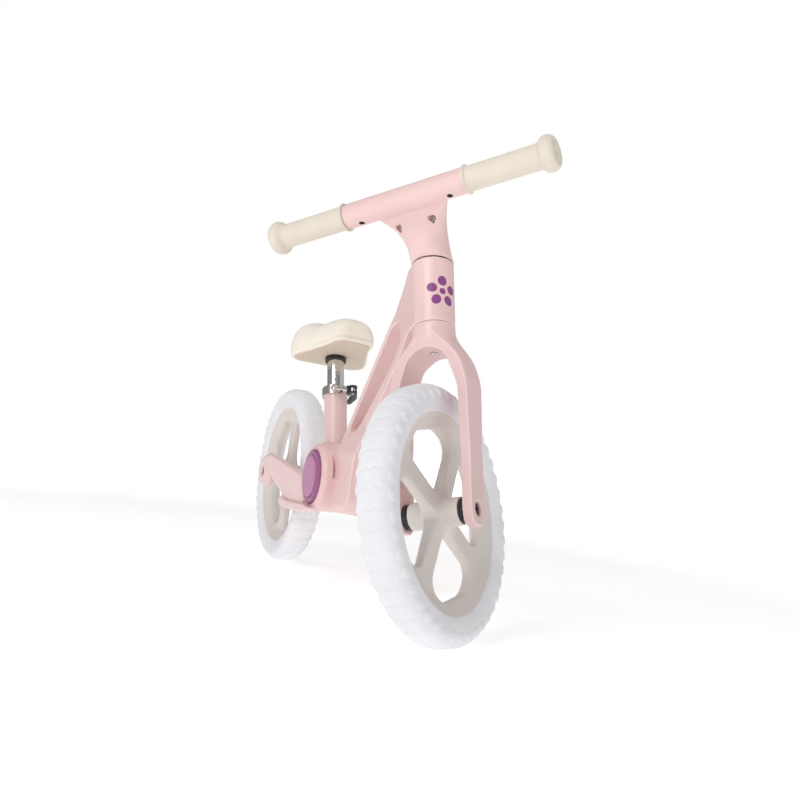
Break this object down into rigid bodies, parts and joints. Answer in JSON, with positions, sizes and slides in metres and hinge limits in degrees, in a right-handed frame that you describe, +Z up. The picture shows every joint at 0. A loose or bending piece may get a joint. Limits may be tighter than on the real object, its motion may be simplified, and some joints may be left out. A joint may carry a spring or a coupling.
{
  "type": "balance bike",
  "caption": "Toddler's pedal-less balance bike with a slotted frame, steerable fork, spoked wheels on foam tyres and a height-adjustable padded saddle.",
  "frame": {"origin": "on the ground under the rear axle, in the frame's middle plane", "axes": "+X forward, +Y to the rider's left, +Z up"},
  "size_m": [0.8484, 0.3017, 0.5628],
  "materials": {
    "pink_paint": "satin",
    "purple_plastic": "satin",
    "mauve_plastic": "satin",
    "bearing_steel": "ground",
    "chrome": "polished",
    "black_plastic": "satin",
    "black_screw": "black oxide",
    "black_rubber": "matt",
    "grip_rubber": "soft matt",
    "tan_plastic": "matt",
    "cream_cover": "soft satin",
    "greige_plastic": "satin",
    "white_foam_tyre": "foam, matt"
  },
  "bodies": {
    "frame": {"frame": "pink_paint", "right_cap_ring": "purple_plastic", "left_cap_ring": "purple_plastic", "right_cap_insert": "mauve_plastic", "left_cap_insert": "mauve_plastic", "headset_outer_races": "bearing_steel", "headset_balls": "bearing_steel", "clamp_collar": "chrome", "clamp_skewer": "chrome", "clamp_nut": "chrome", "clamp_cam_washer": "black_plastic", "clamp_pivot_barrel": "chrome", "rear_axle": "bearing_steel", "rear_axle_screws": "black_screw", "rear_axle_sleeve": "bearing_steel", "rear_spacers": "black_plastic", "rear_bearing_inner_races": "bearing_steel"},
    "steering": {"fork": "pink_paint", "steerer_tube": "bearing_steel", "crown_screw": "chrome", "steering_stop_pin": "bearing_steel", "headset_inner_races": "bearing_steel", "headset_seal": "black_plastic", "stem": "pink_paint", "stem_pinch_screws": "chrome", "bar_set_screws": "black_screw", "handlebar": "bearing_steel", "left_grip": "grip_rubber", "right_grip": "grip_rubber", "front_axle": "bearing_steel", "front_axle_screws": "black_screw", "front_axle_sleeve": "bearing_steel", "front_spacers": "black_plastic", "front_bearing_inner_races": "bearing_steel"},
    "front_wheel": {"front_wheel": "greige_plastic", "front_tyre": "white_foam_tyre", "front_bearing_outer_races": "bearing_steel", "front_bearing_balls": "bearing_steel"},
    "rear_wheel": {"rear_wheel": "greige_plastic", "rear_tyre": "white_foam_tyre", "rear_bearing_outer_races": "bearing_steel", "rear_bearing_balls": "bearing_steel"},
    "saddle": {"seatpost": "chrome", "seatpost_ring": "black_rubber", "saddle_base": "tan_plastic", "saddle_screws": "chrome", "saddle_cushion": "cream_cover"},
    "clamp_lever": {"clamp_lever": "black_plastic"}
  },
  "joints": [
    {"name": "steering", "type": "hinge", "parent": "frame", "child": "steering", "pos_m": [0.6, 0, 0.1423], "axis": [-0.309, 0, 0.9511], "range_deg": [-6.7, 113.3]},
    {"name": "front_wheel_spin", "type": "hinge", "parent": "steering", "child": "front_wheel", "pos_m": [0.6, 0, 0.1423], "axis": [0.7625, 0.5976, 0.2478], "continuous": true},
    {"name": "rear_wheel_spin", "type": "hinge", "parent": "frame", "child": "rear_wheel", "pos_m": [0, 0, 0.145], "axis": [0, 1, 0], "continuous": true},
    {"name": "saddle_height", "type": "slide", "parent": "frame", "child": "saddle", "axis": [-0.342, 0, 0.9397], "range_m": [-0.028, 0.055]},
    {"name": "clamp_lever_swing", "type": "hinge", "parent": "frame", "child": "clamp_lever", "pos_m": [0.22058, 0.018, 0.28266], "axis": [0.342, 0, -0.9397], "range_deg": [0, 140]}
  ]
}
